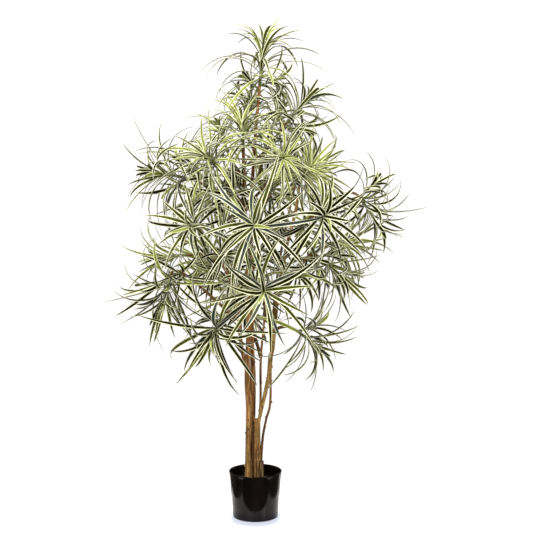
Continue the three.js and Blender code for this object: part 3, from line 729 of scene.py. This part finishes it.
def leaf_line(stand, share, bearing, lucks):
    """The middle line of one leaf, with the directions across and through it at every step."""
    first, second = across(stand.axis)
    out = first * math.cos(bearing) + second * math.sin(bearing)
    side = stand.axis.cross(out)
    hang = LEAF_HANG * max(0.0, 1 - HANG_FADE * share)
    lean = LEAF_OPEN + (LEAF_CLOSED - LEAF_OPEN) * share ** CLOSE_POWER + hang
    lean = math.radians(lean + LEAN_CHANCE * (lucks["lean"] - 0.5))
    curl = math.radians(LEAF_CURL * (LEAST_CURL + CURL_CHANCE * lucks["curl"]))
    twist = math.radians(TWIST_CHANCE * (lucks["twist"] - 0.5))
    sway = LEAF_SWAY * (lucks["sway"] - 0.5)
    droop = Vector((0, 0, LEAF_DROOP * 2 * (1 - share)))
    grown = OLDEST_LENGTH + LENGTH_RISE * share - LENGTH_FALL * share * share
    length = LEAF_LENGTH * stand.size * grown * (LEAST_LENGTH + LENGTH_CHANCE * lucks["length"])
    point = stand.root + stand.axis * (FIRST_LEAF + (stand.long - FIRST_LEAF - LAST_LEAF) * share)
    steps = []
    for k in range(LEAF_STEPS + 1):
        t = k / LEAF_STEPS
        angle = lean + curl * t ** CURL_POWER
        along = stand.axis * math.cos(angle) + out * math.sin(angle) + side * (2 * sway * t) - droop * t
        along.normalize()
        level = (side - along * side.dot(along)).normalized()
        through = along.cross(level)
        flat = level * math.cos(twist * t) + through * math.sin(twist * t)
        steps.append((point, flat, along.cross(flat)))
        point = point + along * (length / LEAF_STEPS)
    return steps


def leaf_half(t):
    """Half the leaf's width, as a share of the full half, from neck to point."""
    return min(1.0, NECK + NECK_OPEN * t) * (1 - t ** POINT_POWER) ** POINT_ROUND


def strip(bm, steps, width, lanes):
    """A strip of the leaf laid between shares of its half width, one lane of faces per pair."""
    grid = bmesh.ops.create_grid(bm, x_segments=len(lanes) - 1, y_segments=LEAF_STEPS, size=1)
    for vert in grid["verts"]:
        k = round((vert.co.y + 1) / 2 * LEAF_STEPS)
        lane = lanes[round((vert.co.x + 1) / 2 * (len(lanes) - 1))]
        place, flat, through = steps[k]
        half = width / 2 * leaf_half(k / LEAF_STEPS)
        vert.co = place + flat * (half * lane) + through * (abs(lane) * FOLD * 2 * half)


def leaf_outline(steps, width):
    """The flat outline of a leaf, as points and faces, to test what it would pass through."""
    points, faces = [], []
    for k, (place, flat, _) in enumerate(steps):
        half = width / 2 * leaf_half(k / LEAF_STEPS)
        points += [place - flat * half, place + flat * half]
        if k:
            faces.append((2 * k - 2, 2 * k - 1, 2 * k + 1, 2 * k))
    return points, faces


# The surface of the stems and boughs, in fewer and flatter faces, that no leaf may pass through.
GUARD_STEP = 4
GUARD_SIDES = 6
guard = bmesh.new()
for line in [*stem_lines.values(), *bough_lines.values()]:
    tip = [line[-1]] if (len(line) - 1) % GUARD_STEP else []
    limb(guard, line[::GUARD_STEP] + tip, GUARD_SIDES)
limb_guard = BVHTree.FromBMesh(guard)
guard.free()

blades = {tint: bmesh.new() for tint in ("deep", "painted_sheen", "mid", "light", "young")}
margins = {tint: bmesh.new() for tint in ("cream", "straw")}
grown_points, grown_faces = [], []
for stand in stands:
    luck = draws(stand.seed)
    deal = draws(stand.seed + DEAL_SEED)
    others = BVHTree.FromPolygons(grown_points, grown_faces) if grown_faces else None
    own = []
    count = round(stand.leaves * MORE_LEAVES[stand.tint])
    width = LEAF_WIDTH * stand.wide * WIDER_LEAVES[stand.tint]
    choices = [kind for kind, weight in TINTS[stand.tint] for _ in range(weight)]
    for i in range(count):
        share = i / (count - 1)
        lucks = {chance: next(luck) for chance in CHANCES}
        bearing = math.radians(LEAF_SPIRAL * i + stand.turn + TURN_CHANCE * (next(luck) - 0.5))
        pick, edge = next(deal), next(deal)
        kind = "young" if share > YOUNG_FROM[stand.tint] else choices[int(pick * len(choices))]
        trim = "straw" if kind in ("young", "light") or edge < STRAW_SHARE else "cream"
        for turn in LEAF_TURNS:
            steps = leaf_line(stand, share, bearing + math.radians(turn), lucks)
            outline = leaf_outline(steps, width)
            surface = BVHTree.FromPolygons(*outline)
            if not (surface.overlap(limb_guard) or (others and surface.overlap(others))):
                own.append(outline)
                strip(blades[kind], steps, width, (-1 + 2 * MARGIN, 0, 1 - 2 * MARGIN))
                strip(margins[trim], steps, width, (-1, -1 + 2 * MARGIN))
                strip(margins[trim], steps, width, (1 - 2 * MARGIN, 1))
                break
    for points, faces in own:
        start = len(grown_points)
        grown_points += points
        grown_faces += [tuple(start + corner for corner in face) for face in faces]

CLOUD_SCALE = 38.0
CLOUD_STOPS = (0.3, 0.7)
ROUGHNESS_CHANCE = 0.08
# Each tint's darkest and lightest colour, its roughness and how much it shines.
BLADE_TINTS = {
    "deep": ((0.009, 0.010, 0.001), (0.024, 0.026, 0.003), 0.48, 0.02),
    # This tint's bluish grey is a painted sheen: it stands in for the soft light's reflection along some
    # leaves.
    "painted_sheen": ((0.020, 0.030, 0.021), (0.060, 0.078, 0.062), 0.42, 0.20),
    "mid": ((0.038, 0.044, 0.005), (0.084, 0.098, 0.012), 0.48, 0.04),
    # This tint's paler yellow green is painted backlight: it stands in for the white backdrop shining
    # through the back and upper leaves.
    "light": ((0.140, 0.165, 0.019), (0.280, 0.320, 0.048), 0.48, 0.10),
    "young": ((0.190, 0.240, 0.035), (0.300, 0.360, 0.075), 0.48, 0.30),
}
MARGIN_TINTS = {
    "cream": ((0.76, 0.74, 0.50), (0.88, 0.87, 0.67), 0.50, 0.20),
    "straw": ((0.72, 0.73, 0.40), (0.87, 0.87, 0.58), 0.50, 0.20),
}


def leaf_finish(name, dark, light, roughness, specular):
    """Printed leaf sheet: a plain colour with a soft cloud in it."""
    finish, tree, shader, place = new_finish(name, roughness, specular)
    cloud = grain(tree, place, scale=CLOUD_SCALE, detail=2.0)
    greens = ramp(tree, cloud, list(zip(CLOUD_STOPS, (dark, light))))
    tree.links.new(greens, shader.inputs["Base Color"])
    shine = spread(tree, cloud, low=roughness - ROUGHNESS_CHANCE, high=roughness + ROUGHNESS_CHANCE)
    tree.links.new(shine, shader.inputs["Roughness"])
    return finish


for kind, bm in blades.items():
    finish = leaf_finish("leaf_" + kind, *BLADE_TINTS[kind])
    piece("leaf_middles_" + kind, bm, finish, every_head)
for kind, bm in margins.items():
    finish = leaf_finish("margin_" + kind, *MARGIN_TINTS[kind])
    piece("leaf_margins_" + kind, bm, finish, every_head)


# STUDIO. A small pale floor round the pot before a white backdrop, soft boxes in front, above and
# behind, and the camera in front of the tree, a little below its top and looking slightly down.
FLOOR_SIDE, FLOOR_FRONT, FLOOR_BACK = 0.19, -0.118, 0.17
FLOOR_GLOW = 0.80
# The pot's painted shadow and reflection on the floor: a bluish shade by the distance from its middle, a
# little in front of the pot's.
PAINTED_POT_SHADOW_AND_REFLECTION =[(0.052, (0.42, 0.43, 0.50)), (0.100, (0.93, 0.93, 0.93))]
PAINTED_SHADOW_SHIFT = (0, 0.025, 0)

floor_mesh = bmesh.new()
corners = [
    (-FLOOR_SIDE, FLOOR_FRONT, 0), (FLOOR_SIDE, FLOOR_FRONT, 0),
    (FLOOR_SIDE, FLOOR_BACK, 0), (-FLOOR_SIDE, FLOOR_BACK, 0),
]
floor_mesh.faces.new([floor_mesh.verts.new(corner) for corner in corners])
mesh = bpy.data.meshes.new("studio_floor")
floor_mesh.to_mesh(mesh)
floor_mesh.free()
floor = bpy.data.objects.new("studio_floor", mesh)
bpy.context.scene.collection.objects.link(floor)
paper, tree, shader, place = new_finish("studio_paper", roughness=0.32, specular=0.35)
shader.inputs["Emission Strength"].default_value = FLOOR_GLOW
shifted = tree.nodes.new("ShaderNodeVectorMath")
shifted.inputs[1].default_value = PAINTED_SHADOW_SHIFT
tree.links.new(place, shifted.inputs[0])
reach = tree.nodes.new("ShaderNodeVectorMath")
reach.operation = "LENGTH"
tree.links.new(shifted.outputs["Vector"], reach.inputs[0])
# The painted shadow and reflection of the pot tint both the floor's colour and its glow.
for socket in ("Base Color", "Emission Color"):
    tree.links.new(ramp(tree, reach.outputs["Value"], PAINTED_POT_SHADOW_AND_REFLECTION), shader.inputs[socket])
mesh.materials.append(paper)

# The sky is what the pot mirrors: dark brown in front and below, pale behind. Matt surfaces, the
# leaves above all, get the soft light of a white room in its place, and the camera sees white.
FRONT_BROWN = (0.036, 0.028, 0.021)
SKY_ABOVE = [(0.0, FRONT_BROWN), (0.35, (0.52, 0.52, 0.52))]
SKY_BELOW = [(0.0, FRONT_BROWN), (0.5, (0.15, 0.12, 0.09))]
ROOM_WHITE = (0.42, 0.41, 0.385)
ROOM_STRENGTH = 1.0
BACKDROP_WHITE = (1, 1, 1)
BACKDROP_STRENGTH = 1.05
# The sky's lower part runs into its upper one between this height and level.
HORIZON = -0.08

world = bpy.data.worlds.new("studio_sky")
world.use_nodes = True
tree = world.node_tree
facing = tree.nodes.new("ShaderNodeSeparateXYZ")
tree.links.new(tree.nodes.new("ShaderNodeTexCoord").outputs["Generated"], facing.inputs["Vector"])
above = ramp(tree, facing.outputs["Y"], SKY_ABOVE)
below = ramp(tree, facing.outputs["Y"], SKY_BELOW)
level = spread(tree, facing.outputs["Z"], start=HORIZON, end=0.0)
sky = tree.nodes["Background"]
tree.links.new(mixed(tree, level, below, above), sky.inputs["Color"])
light_path = tree.nodes.new("ShaderNodeLightPath")
light = sky.outputs[0]
for rays, colour, strength in (
    ("Is Diffuse Ray", ROOM_WHITE, ROOM_STRENGTH),
    ("Is Camera Ray", BACKDROP_WHITE, BACKDROP_STRENGTH),
):
    plain = tree.nodes.new("ShaderNodeBackground")
    plain.inputs["Color"].default_value = (*colour, 1)
    plain.inputs["Strength"].default_value = strength
    swap = tree.nodes.new("ShaderNodeMixShader")
    tree.links.new(light_path.outputs[rays], swap.inputs[0])
    tree.links.new(light, swap.inputs[1])
    tree.links.new(plain.outputs[0], swap.inputs[2])
    light = swap.outputs[0]
tree.links.new(light, tree.nodes["World Output"].inputs["Surface"])
bpy.context.scene.world = world

# The lamps: place, the point that each is turned to, width and height in metres, and watts.
SOFT_BOXES = {
    "key_box": ((-1.5, -2.8, 2.4), (0, 0, 0.7), (1.4, 1.4), 152),
    "fill_box": ((2.2, -2.2, 1.5), (0, 0, 0.6), (0.9, 1.8), 70),
    "top_box": ((0.0, 0.6, 3.0), (0, 0, 0.6), (2.0, 2.0), 60),
    "edge_box": ((0.34, 0.45, -0.06), (0.06, 0, 0.09), (0.05, 0.12), 0.06),
}
for name, (spot, target, size, power) in SOFT_BOXES.items():
    box = bpy.data.lights.new(name, "AREA")
    box.shape = "RECTANGLE"
    box.size, box.size_y = size
    box.energy = power
    lamp = bpy.data.objects.new(name, box)
    lamp.location = spot
    lamp.rotation_mode = "QUATERNION"
    lamp.rotation_quaternion = (Vector(target) - Vector(spot)).to_track_quat("-Z", "Y")
    bpy.context.scene.collection.objects.link(lamp)

# The camera's place in metres, its dip below level in degrees, and its lens and sensor in mm.
CAMERA_PLACE = (0.027, -3.6, 1.10)
CAMERA_DIP = 7.6955
LENS_LENGTH = 102.88
SENSOR_WIDTH = 36

camera_data = bpy.data.cameras.new("photo_camera")
camera_data.lens = LENS_LENGTH
camera_data.sensor_width = SENSOR_WIDTH
camera = bpy.data.objects.new("photo_camera", camera_data)
camera.location = CAMERA_PLACE
camera.rotation_euler = (math.radians(90 - CAMERA_DIP), 0, 0)
bpy.context.scene.collection.objects.link(camera)
bpy.context.scene.camera = camera
bpy.context.scene.view_settings.view_transform = "Standard"
